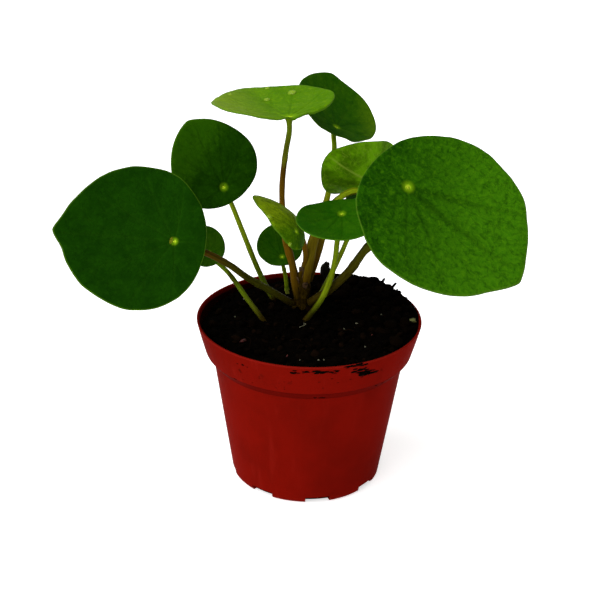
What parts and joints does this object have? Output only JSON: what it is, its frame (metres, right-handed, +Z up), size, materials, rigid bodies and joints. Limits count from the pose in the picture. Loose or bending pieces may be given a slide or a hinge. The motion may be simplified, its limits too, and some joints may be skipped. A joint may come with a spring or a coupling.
{
  "type": "potted chinese money plant",
  "caption": "Young houseplant with round shield-shaped leaves on thin stalks, growing from a short woody stem in a tapered round nursery pot of dark compost.",
  "frame": {"origin": "middle of the pot's flat underside", "axes": "+Z up; -Y is the front, which the left and right large leaves face; +X to the right seen from the front"},
  "size_m": [0.1754, 0.134, 0.1542],
  "materials": {
    "pot_plastic": "thin moulded plastic, red-brown, satin, with dirt smears on the collar",
    "compost": "loose, damp, nearly black peat compost with small fibres and grit",
    "bark": "rough dark bark",
    "stem_bark": "brown, slightly scaly young wood",
    "petiole_brown": "fleshy stalk, olive at the blade turning reddish brown, semi-gloss",
    "petiole_green": "fleshy light green stalk, semi-gloss",
    "leaf_deep": "deep green, slightly mottled, semi-gloss skin, paler underneath",
    "leaf_lime": "yellow-green young skin, semi-gloss"
  },
  "bodies": {
    "root": {"bark_chip": "bark", "leaf_centre": "leaf_deep", "leaf_far_right": "leaf_deep", "leaf_folded": "leaf_lime", "leaf_left": "leaf_deep", "leaf_low_right": "leaf_deep", "leaf_right": "leaf_deep", "leaf_small_back": "leaf_deep", "leaf_small_left": "leaf_deep", "leaf_top": "leaf_lime", "leaf_top_back": "leaf_deep", "leaf_upper_left": "leaf_deep", "leaf_young": "leaf_lime", "main_stem": "stem_bark", "petiole_centre": "petiole_green", "petiole_far_right": "petiole_brown", "petiole_folded": "petiole_green", "petiole_left": "petiole_brown", "petiole_low_right": "petiole_green", "petiole_right": "petiole_brown", "petiole_small_back": "petiole_green", "petiole_small_left": "petiole_green", "petiole_top": "petiole_brown", "petiole_top_back": "petiole_brown", "petiole_upper_left": "petiole_green", "petiole_young": "petiole_green", "pot": "pot_plastic", "soil": "compost"}
  },
  "joints": []
}
